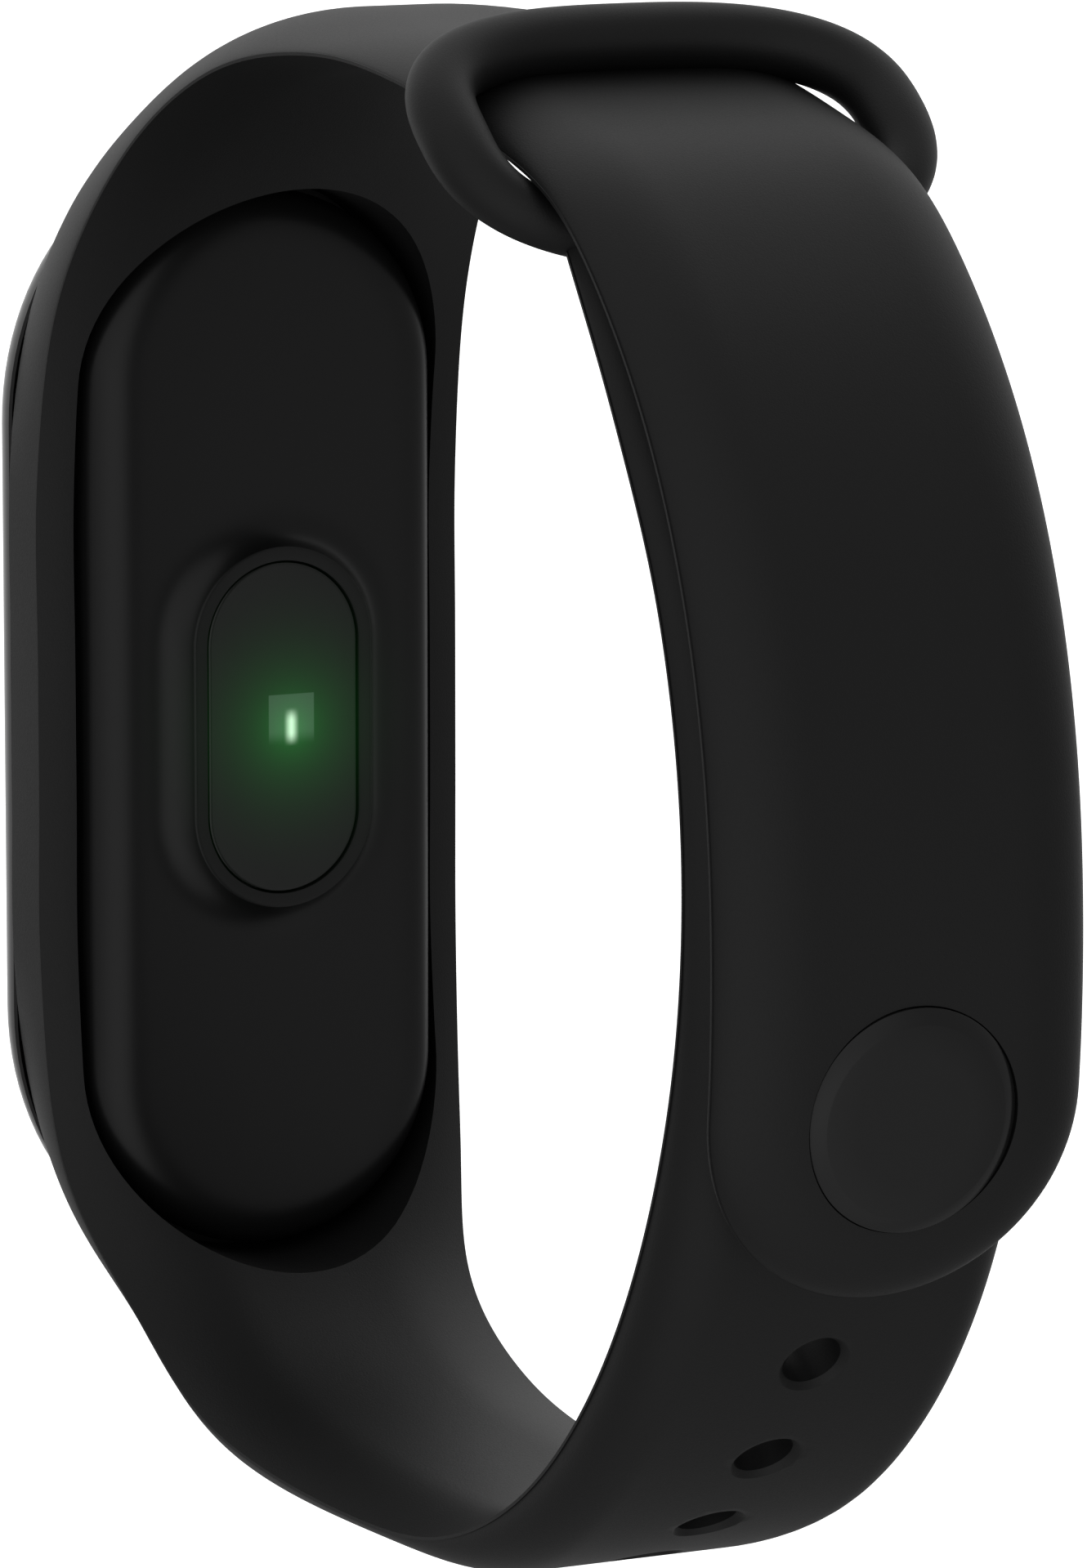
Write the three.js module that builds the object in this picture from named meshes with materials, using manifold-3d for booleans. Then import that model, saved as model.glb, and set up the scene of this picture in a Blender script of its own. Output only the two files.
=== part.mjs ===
// Fitness tracker band: a pill-shaped tracker capsule held in a one-piece rubber strap
// that closes with a keeper loop and a stud.
// Units are millimetres. The origin is the centre of the wrist loop. +X points from the
// tracker to the closure, +Y runs along the wrist and +Z runs up along the tracker.

import * as THREE from 'three';
import { mergeVertices } from 'three/addons/utils/BufferGeometryUtils.js';
import Module from 'manifold-3d';

const wasm = await Module();
wasm.setup();

// ---- Driving dimensions -------------------------------------------------------------

const ARC_STEPS = 14;         // segments on each round end of a pill outline
const ROUND_STEPS = 4;        // segments across a rounded edge
const FAR = 60;               // reach of a cutting block beyond the object

// The strap's spine is its parting edge, from the neck of the keeper loop, down the inner
// arm, round the tracker, over the top, through the loop and down to the tongue's tip. Its
// round stretches are parts of ovals, whose power is 2 for an ellipse and more for a squarer
// one. Turns are degrees from an oval's +X side, and rows number the spine's places.
const INNER_ARM = { centre: [0, 0], half: [25.4, 27.2], power: 2 };
const LOWER_CORNER = { centre: [-5, -10], half: [20.3, 17.3], power: 2.5 };
const UPPER_CORNER = { centre: [-3.5, 9], half: [21.8, 18.5], power: 2.1 };
const CLOSING_ARM = { centre: [0, -2.2], half: [28.3, 30.4], power: 2.2 };
const NECK_TURN = 54;
const CLOSING_TURN = 57;
const TIP_TURN = -22;
const RAMP_HANDLES = [[5, 27.5], [11, 24.9]];   // the dip under the keeper bar

// Rubber inside and outside the parting edge, set at some rows of the spine. The strap
// changes evenly from one to the next.
const THICKNESS = [
  [0, 0.6, 1.05],        // neck, between the loop and the tongue
  [1.5, 0.6, 1.05],
  [3.5, 0.6, 1.9],       // inner arm
  [9.5, 0.6, 1.8],
  [13, 0.5, 3.2],        // holder
  [16, 0.5, 3.2],
  [20, 0.6, 1.5],        // top
  [22, 0.5, 1.3],        // under the keeper bar
  [24, 0.3, 1.4],
  [26, 0.6, 1.5],        // tongue
  [30, 0.5, 1.3],
];
const LAST_ROW = 30;
const BOTTOM_ROW = 9;
const TOP_ROW = 20;
const HINGE_ROW = 26.66;      // where the tongue bends away from the rest of the strap
const STEPS_PER_ROW = 4;

const INNER_ARM_HALF = 6.9;
const OUTER_ARM_HALF = 7.3;
const HOLDER_HALF = 9.1;
const HOLDER_STRAIGHT = 15;   // height up to which the holder keeps its full width
const HOLDER_SHOULDER = 26;   // height at which it has narrowed to the arms
const HOLDER_FRONT = -28.2;

// Raised middle of the holder, which wraps the capsule's two ends: part of an oval over the
// top end, from the display side to the arm, and its mirror image below.
const CROWN = { centre: [-3, 18.5], half: [25.8, 10.4], power: 2.4 };
const CROWN_TURNS = [158, 86];
const CROWN_HALF = 4;

// The keeper loop is an oval ring in a tilted plane, bowed a little outward: a round tube
// over the bar and down both sides, tied to the inner arm's end by a thinner strut on each
// side. Neck and bar are (x, z) on the ring's centre line. Turns go from its sides.
const LOOP_NECK = [14.8, 22.4];
const LOOP_BAR = [7.1, 28.6];
const LOOP_HALF = 9.2;
const LOOP_POWER = 2.7;
const LOOP_BOW = 0.5;
const LOOP_TUBE = 1.25;
const TUBE_TURN = 12;
const STRUT_RADIUS = 0.85;
const STRUT_TURN = 66;

const STUD_CENTRE = [29.55, -7.2];
const TIP_OFFSET = 0.42;        // the tongue's round end sits this much above the stud's centre
const STUD_TILT = THREE.MathUtils.degToRad(6.6);
const STUD_RADIUS = 4.05;
const STUD_CHAMFER = 0.45;
const STUD_THICKNESS = 0.75;
const STUD_PROUD = 0.1;
const STUD_RECESS_GAP = 0.1;
const POST_RADIUS = 0.75;
const POST_TIP_RADIUS = 0.85;
const POST_END = -4.0;
const POST_BORE = 0.95;
const HOLE_RADIUS = 1.15;
const HOLE_PITCH = 5.15;
const HOLE_COUNT = 6;

// Capsule levels along X, from the wrist side to the display side.
const WINDOW_FACE = -22.1;
const ISLAND_FACE = -22.0;
const CASE_CROWN = -23.0;
const WINDOW_SEAT = -23.2;
const CASE_FLOOR = -24.1;
const CASE_STEP = -26.2;
const CASE_LEDGE = -27.2;
const CASE_FRONT = -28.3;
const GLASS_BACK = -28.5;
const GLASS_CROWN = -32.4;

// Capsule outlines: length along Z, width along Y and, where an end is longer than a half
// circle, the length of that round end.
const CASE_REAR = [42.0, 14.75];
const CASE_WIDE = [43.5, 16.1, 9.4];
const GLASS = [44.6, 17.64, 10.6];
const CAPSULE_Z = -0.55;      // height of the capsule's middle in the strap
const WALL = 0.9;
const GLASS_WALL = 1.95;
const SEAT_GAP = 0.35;
const WINDOW = [13.1, 6.4];
const WINDOW_GAP = 0.15;
const ISLAND_RIM = 0.45;

// ---- Materials ----------------------------------------------------------------------

const finish = (color, roughness, metalness = 0) =>
  new THREE.MeshStandardMaterial({ color, roughness, metalness });

const strapRubber = finish(0x1b1b1c, 0.75);
const studFinish = finish(0x2a2a2b, 0.4, 0.3);
const casePlastic = finish(0x1c1c1d, 0.45);
const blackGlass = finish(0x060607, 0.08);
const smokedWindow = finish(0x202423, 0.15);
const displayGlass = finish(0x0b0d12, 0.2);
const framePlastic = finish(0x2e2e30, 0.6);
const adhesive = finish(0x151515, 0.8);
const copperFlex = finish(0x9a5a22, 0.5, 0.2);
const boardGreen = finish(0x0c4a2c, 0.5);
const chipBlack = finish(0x111112, 0.4);
const batteryFoil = finish(0xb9bcc2, 0.35, 0.7);
const goldPlate = finish(0xd8a94a, 0.25, 1);
const steel = finish(0xa8abb0, 0.3, 1);
const tungsten = finish(0x6c6e72, 0.4, 1);
const greenLamp = finish(0x3df07a, 0.3);
const sensorSilicon = finish(0x23263a, 0.25);

// ---- Solids -------------------------------------------------------------------------

function solidFrom(geometry) {
  const bare = geometry.clone();
  bare.deleteAttribute('normal');
  bare.deleteAttribute('uv');
  const merged = mergeVertices(bare, 1e-4);
  const vertProperties = new Float32Array(merged.attributes.position.array);
  const triVerts = new Uint32Array(merged.index.array);
  return new wasm.Manifold(new wasm.Mesh({ numProp: 3, vertProperties, triVerts }));
}

function geometryFrom(solid) {
  const mesh = solid.getMesh();
  const geometry = new THREE.BufferGeometry();
  geometry.setAttribute('position', new THREE.BufferAttribute(mesh.vertProperties, 3));
  geometry.setIndex(new THREE.BufferAttribute(mesh.triVerts, 1));
  geometry.computeVertexNormals();
  return geometry;
}

function cut(solid, ...tools) {
  return tools.reduce((rest, tool) => rest.subtract(tool), solid);
}

function join(...solids) {
  return solids.reduce((sum, next) => sum.add(next));
}

// An outline drawn in (y, z) and pushed along X between two levels.
function slabAlongX(outline, levelA, levelB) {
  const low = Math.min(levelA, levelB);
  const depth = Math.abs(levelB - levelA);
  const geometry = new THREE.ExtrudeGeometry(outline, {
    depth, bevelEnabled: false, curveSegments: ARC_STEPS,
  });
  const turn = new THREE.Matrix4().makeBasis(
    new THREE.Vector3(0, 1, 0), new THREE.Vector3(0, 0, 1), new THREE.Vector3(1, 0, 0));
  geometry.applyMatrix4(turn);
  geometry.translate(low, 0, 0);
  return solidFrom(geometry);
}

// A profile drawn in (x, z) and pushed across the strap, centred on the given y.
function slabAcross(profile, halfWidth, y = 0) {
  const geometry = new THREE.ExtrudeGeometry(profile, {
    depth: 2 * halfWidth, bevelEnabled: false, curveSegments: ARC_STEPS,
  });
  const turn = new THREE.Matrix4().makeBasis(
    new THREE.Vector3(1, 0, 0), new THREE.Vector3(0, 0, 1), new THREE.Vector3(0, -1, 0));
  geometry.applyMatrix4(turn);
  geometry.translate(0, y + halfWidth, 0);
  return solidFrom(geometry);
}

// A pill outline in (y, z): straight sides with round ends.
function pill([length, width, end = width / 2], centreZ = 0) {
  const radius = width / 2;
  const straight = length / 2 - end;
  const outline = new THREE.Shape();
  outline.absellipse(0, centreZ + straight, radius, end, 0, Math.PI, false, 0);
  outline.absellipse(0, centreZ - straight, radius, end, Math.PI, 2 * Math.PI, false, 0);
  outline.closePath();
  return outline;
}

const grown = ([length, width, end = width / 2], by) => [length + 2 * by, width + 2 * by, end + by];

function pillSlab(size, levelA, levelB, centreZ = 0) {
  return slabAlongX(pill(size, centreZ), levelA, levelB);
}

// A pill whose edge rounds over towards its crown: full size at the base level, and
// smaller by `edge` all round at the crown.
function pillDome(size, base, crown, edge, rise, centreZ = 0) {
  const side = Math.sign(crown - base);
  const straight = Math.abs(crown - base) - rise + 1;
  const geometry = new THREE.ExtrudeGeometry(pill(grown(size, -edge), centreZ), {
    depth: straight, bevelEnabled: true, bevelThickness: rise, bevelSize: edge,
    bevelSegments: ROUND_STEPS, curveSegments: ARC_STEPS,
  });
  const turn = new THREE.Matrix4().makeBasis(
    new THREE.Vector3(0, 1, 0), new THREE.Vector3(0, 0, 1), new THREE.Vector3(1, 0, 0));
  geometry.applyMatrix4(turn);
  const start = side > 0 ? crown - rise - straight : crown + rise;
  geometry.translate(start, 0, 0);
  const spare = box([base - side * FAR, base], [-FAR, FAR], [-FAR, FAR]);
  return solidFrom(geometry).subtract(spare);
}

function box([x0, x1], [y0, y1], [z0, z1]) {
  const low = [Math.min(x0, x1), Math.min(y0, y1), Math.min(z0, z1)];
  const high = [Math.max(x0, x1), Math.max(y0, y1), Math.max(z0, z1)];
  const geometry = new THREE.BoxGeometry(high[0] - low[0], high[1] - low[1], high[2] - low[2]);
  geometry.translate((low[0] + high[0]) / 2, (low[1] + high[1]) / 2, (low[2] + high[2]) / 2);
  return solidFrom(geometry);
}

// A block centred on (y, z), resting between two levels.
function chip([sizeY, sizeZ], levelA, levelB, y, z) {
  return box([levelA, levelB], [y - sizeY / 2, y + sizeY / 2], [z - sizeZ / 2, z + sizeZ / 2]);
}

// A shape turned about +Z and laid along Z at (x, y).
function turnedAlongZ(profile, x, y, segments = 24) {
  const geometry = new THREE.LatheGeometry(profile.map(([r, h]) => new THREE.Vector2(r, h)), segments);
  geometry.rotateX(Math.PI / 2);
  geometry.translate(x, y, 0);
  return solidFrom(geometry);
}

// ---- The strap ----------------------------------------------------------------------

// Cosine and sine of a turn in degrees, squared up by an oval's power.
function shaped(turn, power) {
  const angle = THREE.MathUtils.degToRad(turn);
  return [Math.cos(angle), Math.sin(angle)].map((v) => Math.sign(v) * Math.abs(v) ** (2 / power));
}

function ovalPoint({ centre, half, power }, turn) {
  const [across, up] = shaped(turn, power);
  return new THREE.Vector2(centre[0] + half[0] * across, centre[1] + half[1] * up);
}

// Evenly spaced values from first to last.
function evenly(first, last, count) {
  return Array.from({ length: count }, (_, k) => first + ((last - first) * k) / (count - 1));
}

function spinePlaces() {
  const along = (oval, first, last, count) => evenly(first, last, count)
    .map((turn) => ovalPoint(oval, turn));
  const inner = along(INNER_ARM, NECK_TURN, -90, 10);
  const lower = along(LOWER_CORNER, -112.5, -180, 4);
  const upper = along(UPPER_CORNER, 180, 90, 5);
  const closing = along(CLOSING_ARM, CLOSING_TURN, TIP_TURN, 8);
  const side = [1 / 3, 2 / 3].map((t) => lower.at(-1).clone().lerp(upper[0], t));
  const handles = RAMP_HANDLES.map((spot) => new THREE.Vector2(...spot));
  const rampCurve = new THREE.CubicBezierCurve(upper.at(-1), ...handles, closing[0]);
  const ramp = [1 / 3, 2 / 3].map((t) => rampCurve.getPoint(t));
  return [...inner, ...lower, ...side, ...upper, ...ramp, ...closing];
}

const spineCurve = new THREE.CatmullRomCurve3(
  spinePlaces().map(({ x, y }) => new THREE.Vector3(x, y, 0)), false, 'centripetal');

function thicknessAt(row) {
  const next = THICKNESS.findIndex(([at]) => at >= row && at > 0);
  const [rowA, insideA, outsideA] = THICKNESS[next - 1];
  const [rowB, insideB, outsideB] = THICKNESS[next];
  const t = (row - rowA) / (rowB - rowA);
  return {
    inside: THREE.MathUtils.lerp(insideA, insideB, t),
    outside: THREE.MathUtils.lerp(outsideA, outsideB, t),
  };
}

function spineAt(row) {
  const t = row / LAST_ROW;
  const point = spineCurve.getPoint(t);
  const tangent = spineCurve.getTangent(t);
  const outward = new THREE.Vector2(-tangent.y, tangent.x);
  return { point: new THREE.Vector2(point.x, point.y), outward, ...thicknessAt(row) };
}

function offsetPoint(row, distance) {
  const { point, outward } = spineAt(row);
  return point.clone().addScaledVector(outward, distance);
}

// The strap's side profile between two rows of the spine.
function bandProfile(rowA, rowB) {
  const count = Math.ceil((rowB - rowA) * STEPS_PER_ROW);
  const outer = [];
  const inner = [];
  for (let step = 0; step <= count; step += 1) {
    const row = rowA + ((rowB - rowA) * step) / count;
    const { inside, outside } = spineAt(row);
    outer.push(offsetPoint(row, outside));
    inner.push(offsetPoint(row, -inside));
  }
  return new THREE.Shape([...outer, ...inner.reverse()]);
}

// The holder's width: full along the tracker, narrowing to the arms at both ends.
function holderOutline() {
  const outline = new THREE.Shape();
  const end = 40;
  const bend = (HOLDER_SHOULDER - HOLDER_STRAIGHT) * 0.45;
  outline.moveTo(HOLDER_HALF, -HOLDER_STRAIGHT);
  outline.lineTo(HOLDER_HALF, HOLDER_STRAIGHT);
  outline.bezierCurveTo(HOLDER_HALF, HOLDER_STRAIGHT + bend, OUTER_ARM_HALF, HOLDER_SHOULDER - bend,
    OUTER_ARM_HALF, HOLDER_SHOULDER);
  outline.lineTo(OUTER_ARM_HALF, end);
  outline.lineTo(-OUTER_ARM_HALF, end);
  outline.lineTo(-OUTER_ARM_HALF, HOLDER_SHOULDER);
  outline.bezierCurveTo(-OUTER_ARM_HALF, HOLDER_SHOULDER - bend, -HOLDER_HALF, HOLDER_STRAIGHT + bend,
    -HOLDER_HALF, HOLDER_STRAIGHT);
  outline.lineTo(-HOLDER_HALF, -HOLDER_STRAIGHT);
  outline.bezierCurveTo(-HOLDER_HALF, -HOLDER_STRAIGHT - bend, -INNER_ARM_HALF, -HOLDER_SHOULDER + bend,
    -INNER_ARM_HALF, -HOLDER_SHOULDER);
  outline.lineTo(-INNER_ARM_HALF, -end);
  outline.lineTo(INNER_ARM_HALF, -end);
  outline.lineTo(INNER_ARM_HALF, -HOLDER_SHOULDER);
  outline.bezierCurveTo(INNER_ARM_HALF, -HOLDER_SHOULDER + bend, HOLDER_HALF, -HOLDER_STRAIGHT - bend,
    HOLDER_HALF, -HOLDER_STRAIGHT);
  return outline;
}

function roundBar(spots, radius, steps) {
  const section = new THREE.Shape();
  section.absarc(0, 0, radius, 0, 2 * Math.PI, false);
  const path = new THREE.CatmullRomCurve3(
    spots.map((spot) => new THREE.Vector3(...spot)), false, 'centripetal');
  return solidFrom(new THREE.ExtrudeGeometry(section, { steps, extrudePath: path, curveSegments: 5 }));
}

function ball([x, y, z], radius) {
  const geometry = new THREE.SphereGeometry(radius, 14, 10);
  geometry.translate(x, y, z);
  return solidFrom(geometry);
}

// A spot on the centre line of the loop's tube, where a turn of 90 degrees is the bar.
function loopSpot(turn) {
  const [across, along] = shaped(turn, LOOP_POWER);
  const neck = new THREE.Vector2(...LOOP_NECK);
  const bar = new THREE.Vector2(...LOOP_BAR);
  const outward = new THREE.Vector2(bar.y - neck.y, neck.x - bar.x).normalize();
  const place = neck.clone().lerp(bar, (1 + along) / 2)
    .addScaledVector(outward, LOOP_BOW * (1 - along ** 2));
  return [place.x, LOOP_HALF * across, place.y];
}

function keeperLoop() {
  const tube = roundBar(evenly(-TUBE_TURN, 180 + TUBE_TURN, 25).map(loopSpot), LOOP_TUBE, 36);
  const ends = [-TUBE_TURN, 180 + TUBE_TURN].map((turn) => ball(loopSpot(turn), LOOP_TUBE));
  const strutTurns = [[-STRUT_TURN, -TUBE_TURN], [180 + TUBE_TURN, 180 + STRUT_TURN]];
  const struts = strutTurns.map(([first, last]) => (
    roundBar(evenly(first, last, 6).map(loopSpot), STRUT_RADIUS, 8)));
  return join(tube, ...ends, ...struts);
}

// A round bar or hole square to the strap, given as a turned profile of [radius, height].
function turnedOnNormal(profile, [x, z], tilt, segments = 24) {
  const geometry = new THREE.LatheGeometry(profile.map(([r, h]) => new THREE.Vector2(r, h)), segments);
  geometry.rotateZ(-Math.PI / 2);
  geometry.rotateY(tilt);
  geometry.translate(x, 0, z);
  return solidFrom(geometry);
}

// Row of the inner arm that lies opposite the stud.
function rowOppositeStud() {
  const axis = new THREE.Vector2(Math.cos(STUD_TILT), -Math.sin(STUD_TILT));
  const stud = new THREE.Vector2(...STUD_CENTRE);
  let best = 0;
  let bestMiss = Infinity;
  for (let row = 3; row < BOTTOM_ROW; row += 0.01) {
    const offset = spineAt(row).point.clone().sub(stud);
    const miss = Math.abs(offset.cross(axis));
    if (miss < bestMiss) {
      bestMiss = miss;
      best = row;
    }
  }
  return best;
}

// Rows of the adjustment holes, one pitch apart along the spine from the stud's own hole.
function holeRows() {
  const rows = [rowOppositeStud()];
  const stride = 0.01;
  let travelled = 0;
  for (let row = rows[0]; rows.length < HOLE_COUNT; row += stride) {
    travelled += spineAt(row).point.distanceTo(spineAt(row + stride).point);
    if (travelled >= HOLE_PITCH) {
      rows.push(row);
      travelled = 0;
    }
  }
  return rows;
}

function adjustmentHole(row) {
  const { point, outward } = spineAt(row);
  const tilt = Math.atan2(-outward.y, outward.x);
  return turnedOnNormal([[0, -4], [HOLE_RADIUS, -4], [HOLE_RADIUS, 4], [0, 4]],
    [point.x, point.y], tilt, 16);
}

function capsuleSeat() {
  const opening = pillSlab(grown(CASE_REAR, SEAT_GAP), HOLDER_FRONT - 2, CASE_STEP + 10, CAPSULE_Z);
  const pocket = pillSlab(grown(CASE_WIDE, SEAT_GAP), HOLDER_FRONT - 2, CASE_STEP + SEAT_GAP, CAPSULE_Z);
  return opening.add(pocket);
}

// The crown over one end of the holder: `end` is 1 at the top and -1 at the bottom.
function endCrown(end) {
  const over = evenly(...CROWN_TURNS, 13).map((turn) => ovalPoint(CROWN, turn));
  const rowAtArm = end > 0 ? TOP_ROW : BOTTOM_ROW;
  const under = [];
  for (let step = 0; step <= 4; step += 1) {
    under.push(spineAt(rowAtArm - end * step).point);
  }
  const outline = [...over.map(({ x, y }) => new THREE.Vector2(x, end * y)), ...under];
  return slabAcross(new THREE.Shape(outline), CROWN_HALF);
}

function wristStrap() {
  const innerArm = slabAcross(bandProfile(0, BOTTOM_ROW + 0.1), INNER_ARM_HALF);
  const outerArm = slabAcross(bandProfile(TOP_ROW - 0.1, HINGE_ROW - 0.02), OUTER_ARM_HALF);
  const holder = slabAcross(bandProfile(BOTTOM_ROW, TOP_ROW), HOLDER_HALF)
    .intersect(slabAlongX(holderOutline(), -FAR, FAR));
  const frontTrim = box([-FAR, HOLDER_FRONT], [-FAR, FAR], [-FAR, FAR]);
  const holes = holeRows().map(adjustmentHole);
  const body = join(innerArm, holder, endCrown(1), endCrown(-1), outerArm, keeperLoop());
  return cut(body, frontTrim, capsuleSeat(), ...holes);
}

function strapTongue() {
  const band = slabAcross(bandProfile(HINGE_ROW + 0.02, LAST_ROW), OUTER_ARM_HALF);
  const plan = new THREE.Shape();
  const roundZ = STUD_CENTRE[1] + TIP_OFFSET;
  plan.absarc(0, roundZ, OUTER_ARM_HALF, Math.PI, 2 * Math.PI, false);
  plan.lineTo(OUTER_ARM_HALF, FAR);
  plan.lineTo(-OUTER_ARM_HALF, FAR);
  const recess = turnedOnNormal([
    [0, -STUD_THICKNESS], [STUD_RADIUS + STUD_RECESS_GAP, -STUD_THICKNESS],
    [STUD_RADIUS + STUD_RECESS_GAP, 3], [0, 3]], STUD_CENTRE, STUD_TILT, 40);
  const bore = turnedOnNormal([[0, -5], [POST_BORE, -5], [POST_BORE, 3], [0, 3]], STUD_CENTRE, STUD_TILT);
  return cut(band.intersect(slabAlongX(plan, 10, FAR)), recess, bore);
}

function studHead() {
  const bottom = STUD_PROUD - STUD_THICKNESS;
  return turnedOnNormal([
    [0, bottom], [STUD_RADIUS, bottom], [STUD_RADIUS, STUD_PROUD - STUD_CHAMFER * 0.6],
    [STUD_RADIUS - STUD_CHAMFER, STUD_PROUD], [0, STUD_PROUD]], STUD_CENTRE, STUD_TILT, 40);
}

function studPost() {
  const top = STUD_PROUD - STUD_THICKNESS - 0.1;
  return turnedOnNormal([
    [0, POST_END], [POST_TIP_RADIUS * 0.6, POST_END], [POST_TIP_RADIUS, POST_END + 0.35],
    [POST_TIP_RADIUS, POST_END + 0.8], [POST_RADIUS, POST_END + 1.1], [POST_RADIUS, top], [0, top]],
  STUD_CENTRE, STUD_TILT);
}

// ---- The capsule's shell ------------------------------------------------------------

const CONTACT_RADIUS = 0.7;
const CONTACT_Y = 2.2;
const CONTACT_X = -27.25;

function contactBar(y, radius, zLow, zHigh) {
  return turnedAlongZ([[0, zLow], [radius, zLow], [radius, zHigh], [0, zHigh]], CONTACT_X, y);
}

function rearCase() {
  const rear = pillDome(CASE_REAR, CASE_STEP - 0.5, CASE_CROWN, 2, 1.9);
  const wide = pillSlab(CASE_WIDE, CASE_FRONT, CASE_STEP);
  const island = pillDome(grown(WINDOW, WINDOW_GAP + ISLAND_RIM), CASE_CROWN - 0.5, ISLAND_FACE,
    0.3, 0.3);
  const cavity = pillSlab(grown(CASE_REAR, -WALL), CASE_FRONT - 1, CASE_FLOOR);
  const wideCavity = pillSlab(grown(CASE_WIDE, -WALL), CASE_FRONT - 1, CASE_LEDGE);
  const windowHole = pillSlab(grown(WINDOW, WINDOW_GAP), WINDOW_SEAT, ISLAND_FACE + 1);
  const lightHole = pillSlab(grown(WINDOW, -0.6), CASE_FLOOR - 1, ISLAND_FACE + 1);
  const contactHoles = [-1, 1].map(
    (side) => contactBar(side * CONTACT_Y, CONTACT_RADIUS + 0.1, -FAR / 2, -20));
  return cut(join(rear, wide, island), cavity, wideCavity, windowHole, lightHole, ...contactHoles);
}

function frontGlass() {
  const outer = pillDome(GLASS, GLASS_BACK, GLASS_CROWN, 4.35, 3.8);
  const hollow = pillDome(grown(GLASS, -GLASS_WALL), GLASS_BACK + 1, GLASS_CROWN + 1.1, 1.6, 2.2);
  return outer.subtract(hollow);
}

function pillRing(outer, inner, levelA, levelB) {
  return pillSlab(outer, levelA, levelB).subtract(pillSlab(inner, levelA - 1, levelB + 1));
}

// ---- Inside the capsule -------------------------------------------------------------

const FILM = [-31.28, -31.08];
const DISPLAY = [-31.03, -30.13];
const FRAME = [-30.0, -29.6];
const BATTERY = [-29.5, -27.2];
const BOARD = [-26.6, -25.9];
const SENSOR_BOARD = [-24.45, -24.15];
const FLEX_Y = -3;

function innerFrame() {
  const size = [39.4, 12.2];
  const plate = pillSlab(size, FRAME[0], FRAME[1]);
  const wall = pillRing(size, grown(size, -0.38), FRAME[1] - 0.1, CASE_LEDGE - 0.1);
  const flexSlot = box([FRAME[0] - 1, FRAME[1] + 1], [FLEX_Y - 2.4, FLEX_Y + 2.4], [-14.8, -12.6]);
  return plate.add(wall).subtract(flexSlot);
}

// A thin ribbon that follows hand-placed points in (x, z).
function ribbon(points, thickness, halfWidth, y) {
  const curve = new THREE.CatmullRomCurve3(points.map(([x, z]) => new THREE.Vector3(x, z, 0)));
  const sides = [[], []];
  const count = 12;
  for (let step = 0; step <= count; step += 1) {
    const spot = curve.getPoint(step / count);
    const tangent = curve.getTangent(step / count);
    [-1, 1].forEach((side, index) => {
      sides[index].push(new THREE.Vector2(
        spot.x - (side * tangent.y * thickness) / 2, spot.y + (side * tangent.x * thickness) / 2));
    });
  }
  return slabAcross(new THREE.Shape([...sides[0], ...sides[1].reverse()]), halfWidth, y);
}

function antennaStrip() {
  const outline = new THREE.Shape();
  const centreZ = 13.7;
  const start = Math.PI / 9;
  outline.absarc(0, centreZ, 5.4, start, Math.PI - start, false);
  outline.absarc(0, centreZ, 3.9, Math.PI - start, start, true);
  return slabAlongX(outline, FRAME[0] - 0.2, FRAME[0] - 0.05);
}

const LAMP_Y = 0.8;
const DIODE_SPREAD = 3.8;

function lightBarrier() {
  const plate = pillSlab(grown(WINDOW, -0.75), SENSOR_BOARD[1] + 0.05, WINDOW_SEAT - 0.1);
  const lampWell = chip([2.2, 3.0], CASE_FLOOR - 1, WINDOW_SEAT + 1, LAMP_Y, 0);
  const diodeWells = [-1, 1].map(
    (side) => chip([2.7, 2.4], CASE_FLOOR - 1, WINDOW_SEAT + 1, 0, side * DIODE_SPREAD));
  return cut(plate, lampWell, ...diodeWells);
}

const MOTOR_X = -28.1;
const MOTOR_Y = 2.6;
const MOTOR_RADIUS = 1.25;
const SHAFT_RADIUS = 0.3;
const SHAFT_BORE = 0.37;

function motorCan() {
  return turnedAlongZ([
    [0, -17.1], [MOTOR_RADIUS, -17.1], [MOTOR_RADIUS, -12.4], [SHAFT_BORE, -12.4],
    [SHAFT_BORE, -13.4], [0, -13.4]], MOTOR_X, MOTOR_Y);
}

function motorShaft() {
  return turnedAlongZ([[0, -13.3], [SHAFT_RADIUS, -13.3], [SHAFT_RADIUS, -9.9], [0, -9.9]],
    MOTOR_X, MOTOR_Y);
}

// The off-centre weight: a half cylinder round the shaft.
function motorWeight() {
  const radius = MOTOR_RADIUS - 0.05;
  const full = turnedAlongZ([[0, -12.0], [radius, -12.0], [radius, -10.1], [0, -10.1]], MOTOR_X, MOTOR_Y);
  const bore = turnedAlongZ([[0, -14], [SHAFT_BORE, -14], [SHAFT_BORE, -9], [0, -9]], MOTOR_X, MOTOR_Y);
  const spare = box([MOTOR_X + 0.55, 0], [-FAR, FAR], [-FAR, FAR]);
  return cut(full, bore, spare);
}

// ---- Assembly -----------------------------------------------------------------------

const group = new THREE.Group();

function add(name, solid, material) {
  const mesh = new THREE.Mesh(geometryFrom(solid), material);
  mesh.name = name;
  group.add(mesh);
}

// Capsule parts are drawn about the capsule's own middle.
function addInside(name, solid, material) {
  add(name, solid.translate([0, 0, CAPSULE_Z]), material);
}

add('wrist_strap', wristStrap(), strapRubber);
add('strap_tongue', strapTongue(), strapRubber);
add('stud_head', studHead(), studFinish);
add('stud_post', studPost(), studFinish);

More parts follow.
